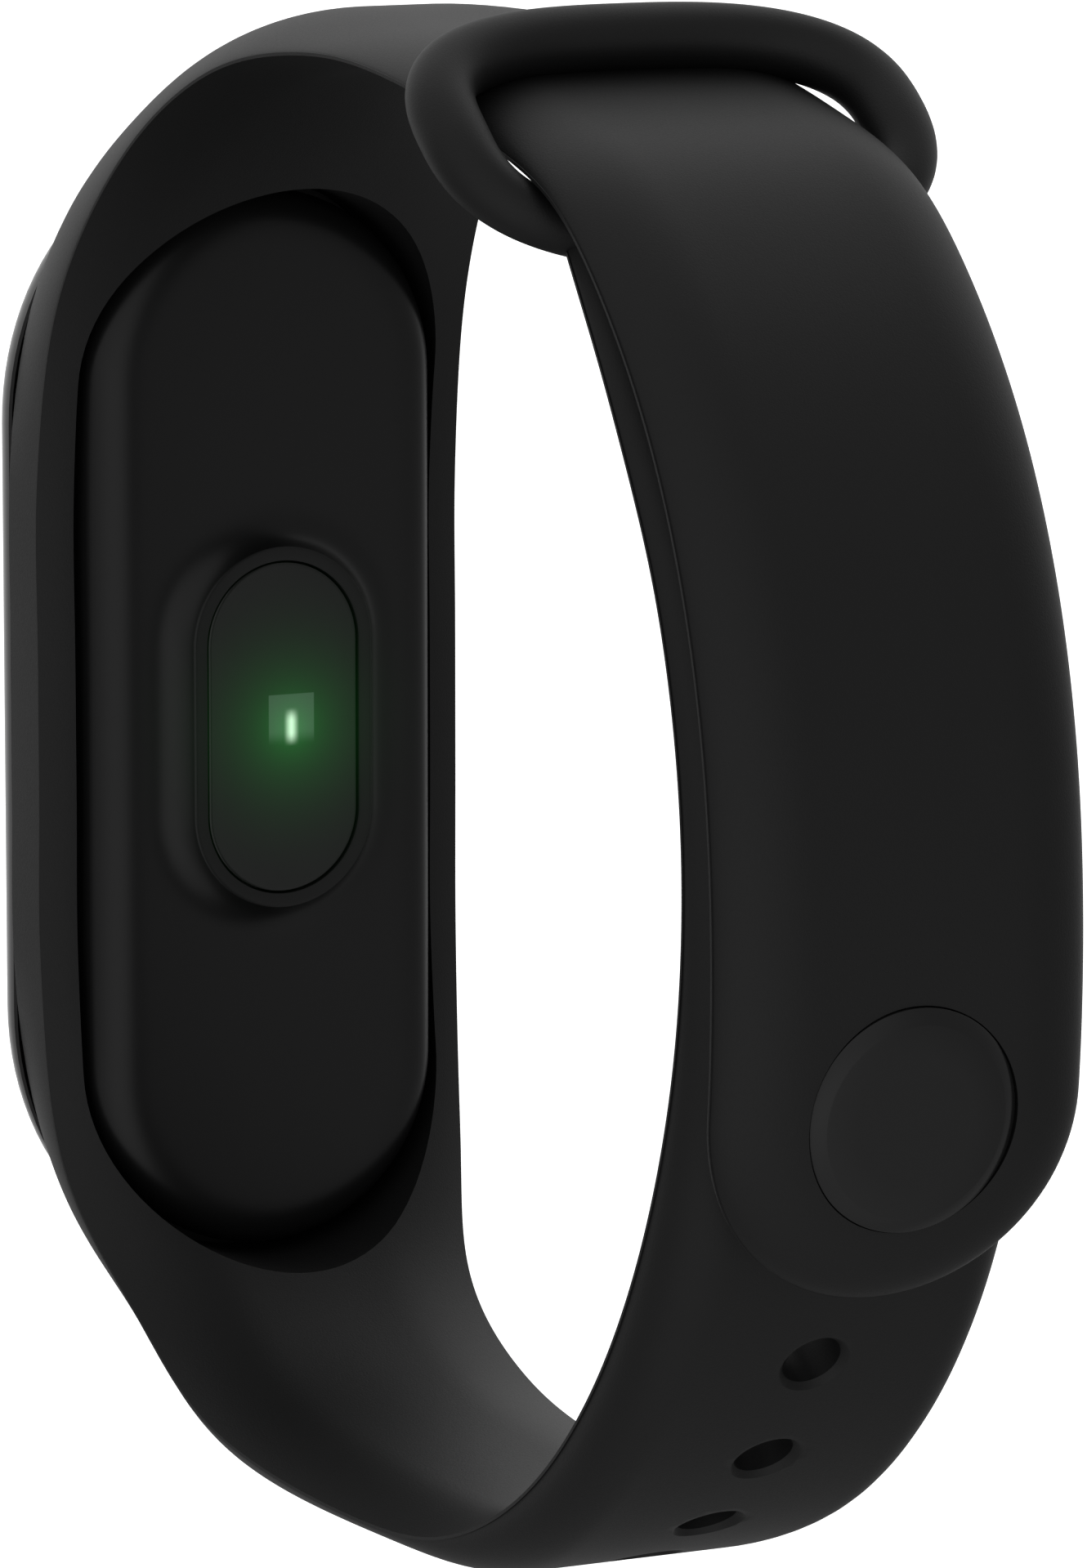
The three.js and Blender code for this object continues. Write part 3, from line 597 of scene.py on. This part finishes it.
def build_case():
    """Rear shell: a rounded pill with a raised island that holds the sensor window."""
    corner = CASE_CROWN - EDGE_RISE
    rings = [pill(grown(CASE_WIDE, -WALL), CASE_FRONT), pill(grown(CASE_WIDE, -0.08), CASE_FRONT),
             pill(CASE_WIDE, CASE_FRONT + 0.08), pill(CASE_WIDE, CASE_STEP - 0.1),
             pill(grown(CASE_WIDE, -0.1), CASE_STEP), pill(CASE_REAR, CASE_STEP),
             pill(CASE_REAR, 0.5 * (CASE_STEP + corner))]
    rings += shell_rings()
    island = grown(WINDOW, WINDOW_GAP + ISLAND_LIP)
    for inset, drop in ((0.02, 0.03), (0.07, 0.006), (0.14, 0.0), (ISLAND_LIP - 0.05, 0.0),
                        (ISLAND_LIP - 0.015, 0.012), (ISLAND_LIP, 0.04)):
        rings.append(pill(grown(island, -inset), ISLAND_FACE - drop))
    hole = grown(WINDOW, WINDOW_GAP)
    light = grown(WINDOW, -0.6)
    rings += [pill(hole, WINDOW_SEAT), pill(light, WINDOW_SEAT), pill(light, CASE_FLOOR),
              pill(grown(CASE_REAR, -WALL), CASE_FLOOR), pill(grown(CASE_REAR, -WALL), CASE_LEDGE),
              pill(grown(CASE_WIDE, -WALL), CASE_LEDGE)]
    return finish_mesh("tracker_shell", *skin(rings, closed_along=True))


def build_window():
    """The sensor's flat glass, with a small rounding at its edge."""
    rings = [pill(grown(WINDOW, -0.02), WINDOW_SEAT + 0.1)]
    for inset, drop in ((0, 0.2), (0, 0.08), (0.02, 0.03), (0.07, 0.005), (0.14, 0)):
        rings.append(pill(grown(WINDOW, -inset), WINDOW_FACE - drop))
    for inset in (0.8, 1.6, 2.4, 3.0):
        rings.append(pill(grown(WINDOW, -inset), WINDOW_FACE))
    return finish_mesh("sensor_glass", *skin(rings))


def dome_rings(size, base, rise, edge, turns):
    """Rings of a pill that curves over from its side to a flat face."""
    rings = []
    for k in range(turns + 1):
        angle = 0.5 * math.pi * k / turns
        rings.append(pill(grown(size, -edge * (1 - math.cos(angle))), base - rise * math.sin(angle)))
    return rings


def build_glass():
    """Front glass: a pill that curves over at its edge, hollow behind."""
    rim = 0.1
    edge, rise = 4.35, GLASS_BACK - rim - GLASS_CROWN
    hollow = grown(GLASS, -GLASS_WALL)
    ceiling = GLASS_CROWN + 1.1
    inner_edge, inner_rise = 1.6, 2.2
    rings = [pill(grown(hollow, -5.0), ceiling), pill(grown(hollow, -3.0), ceiling)]
    rings += reversed(dome_rings(hollow, ceiling + inner_rise, inner_rise, inner_edge, 8))
    rings += [pill(hollow, GLASS_BACK), pill(grown(GLASS, -0.1), GLASS_BACK)]
    rings += dome_rings(GLASS, GLASS_BACK - rim, rise, edge, 26)
    rings += [pill(grown(GLASS, -inset), GLASS_CROWN) for inset in (5.6, 7.0, 8.2)]
    return finish_mesh("display_glass", *skin(rings))


# ---- Materials -------------------------------------------------------------------------------


def new_material(name):
    material = bpy.data.materials.new(name)
    material.use_nodes = True
    nodes = material.node_tree.nodes
    return material, nodes, material.node_tree.links, nodes["Principled BSDF"]


def plug(links, value, socket):
    """Feeds a socket from another socket or with a plain value."""
    if isinstance(value, bpy.types.NodeSocket):
        links.new(value, socket)
    else:
        socket.default_value = value


def calculate(nodes, links, operation, a, b=0.0):
    """One step of arithmetic between two sockets or plain values."""
    node = nodes.new("ShaderNodeMath")
    node.operation = operation
    plug(links, a, node.inputs[0])
    plug(links, b, node.inputs[1])
    return node.outputs["Value"]


def ranged(nodes, links, source, low, high, start=0.0, stop=1.0, smooth=False):
    """Maps start..stop of a socket to low..high."""
    node = nodes.new("ShaderNodeMapRange")
    if smooth:
        node.interpolation_type = "SMOOTHSTEP"
    node.inputs["From Min"].default_value = start
    node.inputs["From Max"].default_value = stop
    node.inputs["To Min"].default_value = low
    node.inputs["To Max"].default_value = high
    links.new(source, node.inputs["Value"])
    return node.outputs["Result"]


def mixed(nodes, links, share, colour_a, colour_b):
    mix = nodes.new("ShaderNodeMix")
    mix.data_type = "RGBA"
    mix.inputs["A"].default_value = (*colour_a, 1)
    mix.inputs["B"].default_value = (*colour_b, 1)
    links.new(share, mix.inputs["Factor"])
    return mix.outputs["Result"]


def pattern(nodes, links, kind, scale, stretch=(1, 1, 1), **settings):
    """The grey output of a texture in object space, stretched along the axes."""
    place = nodes.new("ShaderNodeTexCoord")
    mapping = nodes.new("ShaderNodeMapping")
    mapping.inputs["Scale"].default_value = stretch
    texture = nodes.new("ShaderNodeTex" + kind)
    texture.inputs["Scale"].default_value = scale
    for key, value in settings.items():
        texture.inputs[key].default_value = value
    links.new(place.outputs["Object"], mapping.inputs["Vector"])
    links.new(mapping.outputs["Vector"], texture.inputs["Vector"])
    return texture.outputs["Distance" if kind == "Voronoi" else "Fac"]


def bumped(nodes, links, shader, height, distance):
    bump = nodes.new("ShaderNodeBump")
    bump.inputs["Distance"].default_value = distance
    links.new(height, bump.inputs["Height"])
    links.new(bump.outputs["Normal"], shader.inputs["Normal"])


def surface(name, dark, light, rough, grain, relief, mottle=260.0, metallic=0.0):
    """A surface with a fine grain (scale and relief) over a slow mottling of two colours."""
    material, nodes, links, shader = new_material(name)
    slow = pattern(nodes, links, "Noise", mottle, Detail=3.0)
    links.new(mixed(nodes, links, slow, dark, light), shader.inputs["Base Color"])
    fine = pattern(nodes, links, "Noise", grain, Detail=2.0, Roughness=0.6)
    links.new(ranged(nodes, links, fine, *rough), shader.inputs["Roughness"])
    bumped(nodes, links, shader, fine, relief)
    shader.inputs["Metallic"].default_value = metallic
    return material


def figured(name, dark, light, rough, kind, scale, stretch=(1, 1, 1), relief=0.00001, metallic=0.0,
            **settings):
    """A surface whose colour, gloss and relief follow one figure, such as tracks or brush marks."""
    material, nodes, links, shader = new_material(name)
    figure = pattern(nodes, links, kind, scale, stretch, **settings)
    links.new(mixed(nodes, links, figure, dark, light), shader.inputs["Base Color"])
    links.new(ranged(nodes, links, figure, *rough), shader.inputs["Roughness"])
    bumped(nodes, links, shader, figure, relief)
    shader.inputs["Metallic"].default_value = metallic
    return material


# Painted light: the lamp behind the window gives no light of its own; its halo, pale square and bright core
# are painted as emission on the window's face, and part of the halo on the shell.
LAMP = (0.36, -0.6)         # the lamp's middle behind the window, in y and z
LAMP_HALF = (0.98, 1.3)
LAMP_SOFT = 0.04
LAMP_FADE = (-0.75, -0.1)   # the square's lower end fades out between these heights
LAMP_COLOUR = (0.034, 0.052, 0.040)
CORE_HALF = (0.15, 0.5)
CORE_SOFT = (0.42, 0.6)
CORE_COLOUR = (0.68, 0.95, 0.70)
GLOW_COLOUR = (0.055, 1.0, 0.13)
TIGHT_REACH = 0.8
TIGHT_STRENGTH = 0.14
WIDE_REACH = 3.2
WIDE_STRENGTH = 0.03
SHELL_PAINTED_GLOW = 0.5            # the shell's share of the glow, painted on it as emission


def lamp_offsets(nodes, links):
    """Distances across and along from the lamp's middle, in millimetres."""
    place = nodes.new("ShaderNodeTexCoord")
    parts = nodes.new("ShaderNodeSeparateXYZ")
    links.new(place.outputs["Object"], parts.inputs["Vector"])
    offsets = []
    for axis, middle in zip("YZ", LAMP):
        scaled = calculate(nodes, links, "MULTIPLY", parts.outputs[axis], 1 / MM)
        offsets.append(calculate(nodes, links, "SUBTRACT", scaled, middle))
    return offsets


def painted_lamp_glow(nodes, links, across, along):
    """The lamp's soft halo, painted as emission: a tight one inside a wide one."""
    def product(a, b):
        return calculate(nodes, links, "MULTIPLY", a, b)

    square = calculate(nodes, links, "ADD", product(across, across), product(along, along))
    radius = calculate(nodes, links, "SQRT", square)
    tight = calculate(nodes, links, "EXPONENT", product(radius, -1 / TIGHT_REACH))
    wide = calculate(nodes, links, "EXPONENT", product(square, -1 / WIDE_REACH ** 2))
    return calculate(nodes, links, "ADD", product(tight, TIGHT_STRENGTH), product(wide, WIDE_STRENGTH))


def within(nodes, links, offset, half, soft):
    """1 within `half` of the middle, fading to 0 over `soft`."""
    away = calculate(nodes, links, "ABSOLUTE", offset)
    return ranged(nodes, links, away, 1.0, 0.0, half - soft / 2, half + soft / 2, smooth=True)


def add_light(nodes, links, total, share, colour, strength):
    """Adds a colour times a share to a running emission colour."""
    scaled = nodes.new("ShaderNodeVectorMath")
    scaled.operation = "SCALE"
    scaled.inputs[0].default_value = [strength * c for c in colour]
    links.new(share, scaled.inputs["Scale"])
    if total is None:
        return scaled.outputs["Vector"]
    both = nodes.new("ShaderNodeVectorMath")
    links.new(total, both.inputs[0])
    links.new(scaled.outputs["Vector"], both.inputs[1])
    return both.outputs["Vector"]


def painted_lamp_window():
    """Smoked window over the lamp, with the lamp's light painted on its face as emission: halo, the lamp's
    pale square and its bright core.
    """
    material = surface("smoked_window", (0.022, 0.022, 0.022), (0.026, 0.026, 0.026), (0.22, 0.26), 3000,
                       0.0000005)
    nodes, links = material.node_tree.nodes, material.node_tree.links
    shader = nodes["Principled BSDF"]
    across, along = lamp_offsets(nodes, links)
    total = add_light(nodes, links, None, painted_lamp_glow(nodes, links, across, along), GLOW_COLOUR, 1.0)
    columns = within(nodes, links, across, LAMP_HALF[0], LAMP_SOFT)
    rows = within(nodes, links, along, LAMP_HALF[1], LAMP_SOFT)
    top = ranged(nodes, links, along, 0.0, 1.0, *LAMP_FADE, smooth=True)
    square = calculate(nodes, links, "MULTIPLY", columns, rows)
    square = calculate(nodes, links, "MULTIPLY", square, top)
    total = add_light(nodes, links, total, square, LAMP_COLOUR, 1.0)
    core = calculate(nodes, links, "MULTIPLY",
                     within(nodes, links, across, CORE_HALF[0], CORE_SOFT[0]),
                     within(nodes, links, along, CORE_HALF[1], CORE_SOFT[1]))
    total = add_light(nodes, links, total, core, CORE_COLOUR, 1.0)
    # Painted light: the window itself glows with the lamp's halo, square and core.
    links.new(total, shader.inputs["Emission Color"])
    shader.inputs["Emission Strength"].default_value = 1.0
    return material


def shell_satin_painted_glow():
    """Satin shell with a little of the lamp's glow painted round the window as emission."""
    material = surface("satin_shell_painted_glow", (0.0100, 0.0100, 0.0102), (0.0115, 0.0115, 0.0117), (0.34, 0.38),
                       15000, 0.0000015)
    nodes, links = material.node_tree.nodes, material.node_tree.links
    shader = nodes["Principled BSDF"]
    glow = painted_lamp_glow(nodes, links, *lamp_offsets(nodes, links))
    # Painted light: the lamp's halo is painted on the shell round the window.
    total = add_light(nodes, links, None, glow, GLOW_COLOUR, SHELL_PAINTED_GLOW)
    links.new(total, shader.inputs["Emission Color"])
    shader.inputs["Emission Strength"].default_value = 1.0
    return material


def paint(obj, material):
    obj.data.materials.clear()
    obj.data.materials.append(material)


# ---- Stage -----------------------------------------------------------------------------------

CAMERA_TURN = math.radians(63.52)
CAMERA_RISE = math.radians(9.252)
CAMERA_DISTANCE = 0.3378
LENS = 208.35
SHIFT = (0.00671, 0.00561)


def build_camera():
    back = Vector((math.sin(CAMERA_TURN) * math.cos(CAMERA_RISE),
                   -math.cos(CAMERA_TURN) * math.cos(CAMERA_RISE), math.sin(CAMERA_RISE)))
    data = bpy.data.cameras.new("camera")
    data.lens = LENS
    data.sensor_width = 36
    data.shift_x, data.shift_y = SHIFT
    data.clip_start = 0.01
    camera = bpy.data.objects.new("camera", data)
    camera.location = back * CAMERA_DISTANCE
    camera.rotation_euler = back.to_track_quat("Z", "Y").to_euler()
    bpy.context.scene.collection.objects.link(camera)
    bpy.context.scene.camera = camera


def toward(turn, rise):
    """Unit vector to a compass turn and a rise, both in degrees, as the camera's are."""
    turn, rise = math.radians(turn), math.radians(rise)
    return Vector((math.sin(turn) * math.cos(rise), -math.cos(turn) * math.cos(rise), math.sin(rise)))


# Soft light from all round: turn, rise, added strength, angle of full light, angle of none.
BASE_LIGHT = 0.18
SOFT_LIGHTS = [
    (243.5, 28, 0.50, 34, 74),
    (45, 20, 0.20, 12, 78),
    (75, -38, 0.16, 10, 62),
]
WHITE_GROUND = 1.05
FLOOR_HALF = 3000
FLOOR_LEVEL = -60


def build_studio():
    """White to the camera; to the object, dim all round with broad soft lights."""
    scene = bpy.context.scene
    scene.view_settings.view_transform = "Standard"
    world = bpy.data.worlds.new("studio")
    scene.world = world
    world.use_nodes = True
    nodes, links = world.node_tree.nodes, world.node_tree.links
    place = nodes.new("ShaderNodeTexCoord")
    strength = BASE_LIGHT
    for turn, rise, added, full, none in SOFT_LIGHTS:
        facing = nodes.new("ShaderNodeVectorMath")
        facing.operation = "DOT_PRODUCT"
        links.new(place.outputs["Generated"], facing.inputs[0])
        facing.inputs[1].default_value = toward(turn, rise)
        lobe = ranged(nodes, links, facing.outputs["Value"], 0.0, added, math.cos(math.radians(none)),
                      math.cos(math.radians(full)), smooth=True)
        strength = calculate(nodes, links, "ADD", lobe, strength)
    background = nodes["Background"]
    background.inputs["Color"].default_value = (1, 1, 1, 1)
    links.new(strength, background.inputs["Strength"])
    white = nodes.new("ShaderNodeBackground")
    white.inputs["Color"].default_value = (1, 1, 1, 1)
    white.inputs["Strength"].default_value = WHITE_GROUND
    path = nodes.new("ShaderNodeLightPath")
    choose = nodes.new("ShaderNodeMixShader")
    links.new(path.outputs["Is Camera Ray"], choose.inputs["Fac"])
    links.new(background.outputs["Background"], choose.inputs[1])
    links.new(white.outputs["Background"], choose.inputs[2])
    links.new(choose.outputs["Shader"], nodes["World Output"].inputs["Surface"])


def build_floor():
    """A plain pale floor, which neither shades nor lights the object."""
    corners = [(-1, -1), (1, -1), (1, 1), (-1, 1)]
    points = [(FLOOR_HALF * x, FLOOR_HALF * y, FLOOR_LEVEL) for x, y in corners]
    floor = finish_mesh("floor", points, [(0, 1, 2, 3)])
    material, _, _, shader = new_material("pale_floor")
    shader.inputs["Base Color"].default_value = (0.9, 0.9, 0.9, 1)
    shader.inputs["Roughness"].default_value = 0.9
    shader.inputs["Emission Color"].default_value = (1, 1, 1, 1)
    shader.inputs["Emission Strength"].default_value = 1.0
    paint(floor, material)
    floor.visible_glossy = False
    floor.visible_diffuse = False
    floor.visible_shadow = False


# ---- Assembly --------------------------------------------------------------------------------

rubber = surface("strap_rubber", (0.0095, 0.0095, 0.0097), (0.0115, 0.0115, 0.0117), (0.44, 0.58), 13000,
                 0.000008)
satin_painted_glow = shell_satin_painted_glow()
stud_coat = surface("stud_coat", (0.018, 0.018, 0.0182), (0.020, 0.020, 0.0202), (0.20, 0.24), 16000,
                    0.0000008)
black_glass = surface("black_glass", (0.003, 0.003, 0.0032), (0.004, 0.004, 0.0042), (0.04, 0.07), 1200,
                      0.0000002, mottle=90.0)
panel_glass = figured("panel_glass", (0.004, 0.005, 0.008), (0.010, 0.012, 0.018), (0.12, 0.22), "Brick",
                      9000, relief=0.000001)
grey_plastic = surface("grey_plastic", (0.045, 0.045, 0.047), (0.055, 0.055, 0.057), (0.5, 0.62), 8000,
                       0.000008)
foam_tape = surface("foam_tape", (0.010, 0.010, 0.010), (0.018, 0.018, 0.018), (0.75, 0.9), 5000, 0.00003)
amber_film = figured("amber_film", (0.24, 0.09, 0.015), (0.42, 0.20, 0.05), (0.3, 0.45), "Wave", 900,
                     relief=0.000008)
solder_mask = figured("solder_mask", (0.004, 0.060, 0.028), (0.010, 0.115, 0.055), (0.3, 0.5), "Brick", 500,
                      relief=0.00001)
epoxy = surface("epoxy", (0.010, 0.010, 0.0105), (0.016, 0.016, 0.0165), (0.45, 0.6), 12000, 0.000006)
foil = figured("foil", (0.42, 0.43, 0.45), (0.62, 0.63, 0.65), (0.28, 0.42), "Noise", 220, (1, 1, 0.3),
               relief=0.00006, metallic=0.9)
gold = surface("gold", (0.72, 0.46, 0.13), (0.83, 0.57, 0.20), (0.18, 0.3), 9000, 0.000001, metallic=1.0)
drawn_steel = figured("drawn_steel", (0.42, 0.43, 0.45), (0.60, 0.61, 0.63), (0.22, 0.38), "Noise", 1500,
                      (1, 1, 0.06), relief=0.000004, metallic=1.0)
sintered = figured("sintered", (0.13, 0.13, 0.14), (0.26, 0.26, 0.27), (0.35, 0.6), "Voronoi", 9000,
                   relief=0.00001, metallic=1.0)
silicon = figured("silicon", (0.010, 0.011, 0.030), (0.035, 0.038, 0.085), (0.15, 0.3), "Brick", 2600,
                  relief=0.000002)
lamp = surface("green_lamp", (0.06, 0.60, 0.20), (0.09, 0.75, 0.28), (0.2, 0.3), 4000, 0.000002)

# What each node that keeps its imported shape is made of.
NODE_LOOKS = {
    "stud_post": stud_coat,
    "glass_adhesive": foam_tape,
    "window_seal": foam_tape,
    "touch_film": panel_glass,
    "display_panel": panel_glass,
    "display_flex": amber_film,
    "battery_lead": amber_film,
    "antenna_strip": amber_film,
    "inner_frame": grey_plastic,
    "battery_cell": foil,
    "main_board": solder_mask,
    "sensor_board": solder_mask,
    "display_connector": epoxy,
    "processor_chip": epoxy,
    "motion_sensor": epoxy,
    "power_chip": epoxy,
    "light_barrier": epoxy,
    "green_led": lamp,
    "photodiode_upper": silicon,
    "photodiode_lower": silicon,
    "charging_contact_left": gold,
    "charging_contact_right": gold,
    "motor_can": drawn_steel,
    "motor_shaft": drawn_steel,
    "motor_weight": sintered,
}

strap = build_strap()
paint(strap, rubber)
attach(strap, "strap")
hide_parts("wrist_strap")

arm = build_closing_arm()
paint(arm, rubber)
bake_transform(arm)
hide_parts("strap_tongue")

# Rigid pieces: the object, its look, its body, the node it stands for and its slot.
RIGID_PIECES = [
    (build_stud(), stud_coat, "tongue", "stud_head", "stud_finish"),
    (build_case(), satin_painted_glow, "capsule", "rear_case", "case_plastic"),
    (build_window(), painted_lamp_window(), "capsule", "sensor_window", "smoked_window"),
    (build_glass(), black_glass, "capsule", "front_glass", "black_glass"),
]
for piece, look, body, node_name, slot in RIGID_PIECES:
    paint(piece, look)
    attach(piece, body)
    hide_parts(node_name)

for node_name, look in NODE_LOOKS.items():
    paint(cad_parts[node_name], look)

build_camera()
build_studio()
build_floor()
